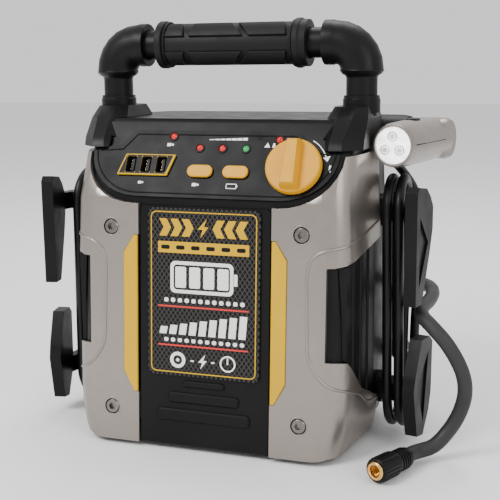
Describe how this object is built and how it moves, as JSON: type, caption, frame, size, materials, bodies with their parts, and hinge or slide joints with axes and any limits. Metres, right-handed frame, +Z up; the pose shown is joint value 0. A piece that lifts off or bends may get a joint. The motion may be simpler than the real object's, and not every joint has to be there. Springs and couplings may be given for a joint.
{
  "type": "jump starter pack",
  "caption": "Portable vehicle jump starter pack: pipe-style carry handle, pivoting side torch, rotary knob, cable cleats with stowed booster cables and clamps, and an air hose.",
  "frame": {"origin": "on the flat underside, below the middle of the carry handle", "axes": "+Z up, -Y out of the front with the control panel, +X to the right seen from the front"},
  "size_m": [0.3532, 0.2094, 0.3238],
  "materials": {
    "amber_button": "satin",
    "battery_case": "matte",
    "black_plastic": "satin",
    "board_green": "matte",
    "brass": "machined",
    "cable_rubber": "satin",
    "dial_face": "matte printed",
    "green_lens": "gloss",
    "grip_rubber": "matte",
    "hose_rubber": "matte",
    "label_film": "semi-gloss printed film",
    "motor_steel": "plain",
    "panel_plastic": "semi-gloss",
    "red_lens": "gloss",
    "silver_cover": "satin champagne-silver metallic paint",
    "steel_screw": "brushed",
    "torch_lens": "clear gloss",
    "yellow_plastic": "gloss"
  },
  "bodies": {
    "case": {"accent_insert_left": "yellow_plastic", "accent_insert_right": "yellow_plastic", "air_hose": "hose_rubber", "base_moulding": "black_plastic", "battery": "battery_case", "booster_cable_left": "cable_rubber", "booster_cable_right": "cable_rubber", "cable_cleat_lower_left": "black_plastic", "cable_cleat_lower_right": "black_plastic", "cable_cleat_upper_left": "black_plastic", "cable_cleat_upper_right": "black_plastic", "cable_gland_left": "black_plastic", "cable_gland_right": "black_plastic", "centre_strip": "black_plastic", "circuit_board": "board_green", "clamp_left_fixed_lever": "black_plastic", "clamp_right_fixed_lever": "black_plastic", "compressor_motor": "motor_steel", "compressor_switch_frame": "black_plastic", "control_panel": "panel_plastic", "cover_left": "silver_cover", "cover_right": "silver_cover", "cover_screw_1": "steel_screw", "cover_screw_2": "steel_screw", "cover_screw_3": "steel_screw", "cover_screw_4": "steel_screw", "front_shell": "black_plastic", "gauge_case": "dial_face", "handle_elbow_left": "black_plastic", "handle_elbow_right": "black_plastic", "handle_grip": "grip_rubber", "handle_tube": "black_plastic", "hose_collar": "black_plastic", "hose_gland": "black_plastic", "hose_sleeve": "black_plastic", "hose_valve_nut": "brass", "label_plate": "label_film", "led_1": "red_lens", "led_2": "red_lens", "led_3": "red_lens", "led_4": "green_lens", "led_5": "red_lens", "louvre_left": "black_plastic", "louvre_right": "black_plastic", "rear_shell": "black_plastic", "riser_shroud_left": "black_plastic", "riser_shroud_right": "black_plastic", "torch_pivot": "black_plastic", "usb_bezel": "yellow_plastic"},
    "knob": {"power_knob": "amber_button"},
    "usb_key": {"usb_button": "amber_button"},
    "battery_key": {"battery_button": "amber_button"},
    "torch": {"torch_body": "silver_cover", "torch_lens": "torch_lens"},
    "torch_key": {"torch_switch": "black_plastic"},
    "clamp_left_jaw": {"clamp_left_moving_lever": "black_plastic"},
    "clamp_right_jaw": {"clamp_right_moving_lever": "black_plastic"},
    "rocker": {"compressor_rocker": "amber_button"},
    "needle": {"gauge_needle": "red_lens"},
    "cap": {"socket_cap": "black_plastic"}
  },
  "joints": [
    {"name": "knob_turn", "type": "hinge", "parent": "case", "child": "knob", "pos_m": [0.065, -0.05469, 0.21484], "axis": [0, -0.8829, 0.4695], "range_deg": [-90, 0]},
    {"name": "usb_button_press", "type": "slide", "parent": "case", "child": "usb_key", "axis": [0, 0.8829, -0.4695], "range_m": [0, 0.0012], "stiffness_N_per_m": 400, "springref_m": -0.001},
    {"name": "battery_button_press", "type": "slide", "parent": "case", "child": "battery_key", "axis": [0, 0.8829, -0.4695], "range_m": [0, 0.0012], "stiffness_N_per_m": 400, "springref_m": -0.001},
    {"name": "torch_tilt", "type": "hinge", "parent": "case", "child": "torch", "pos_m": [0.146, 0.06, 0.23], "axis": [0.9781, -0.2079, 0], "range_deg": [-180, 0]},
    {"name": "torch_switch_press", "type": "slide", "parent": "torch", "child": "torch_key", "axis": [0, 0, -1], "range_m": [0, 0.0008], "stiffness_N_per_m": 400, "springref_m": -0.001},
    {"name": "clamp_left_open", "type": "hinge", "parent": "case", "child": "clamp_left_jaw", "pos_m": [-0.074, 0.099, 0.178], "axis": [0, 1, 0], "range_deg": [-12, 0], "stiffness_Nm_per_rad": 0.6, "springref_deg": 17.19},
    {"name": "clamp_right_open", "type": "hinge", "parent": "case", "child": "clamp_right_jaw", "pos_m": [0.074, 0.099, 0.178], "axis": [0, 1, 0], "range_deg": [-12, 0], "stiffness_Nm_per_rad": 0.6, "springref_deg": 17.19},
    {"name": "compressor_rocker_tip", "type": "hinge", "parent": "case", "child": "rocker", "pos_m": [0.038, 0.0855, 0.054], "axis": [0, 0, 1], "range_deg": [-8, 8]},
    {"name": "gauge_needle_turn", "type": "hinge", "parent": "case", "child": "needle", "pos_m": [0, 0.0907, 0.168], "axis": [0, 1, 0], "range_deg": [-240, 0], "stiffness_Nm_per_rad": 0.0005},
    {"name": "socket_cap_swing", "type": "hinge", "parent": "case", "child": "cap", "pos_m": [-0.072, 0.087, 0.083], "axis": [1, 0, 0], "range_deg": [0, 110]}
  ]
}
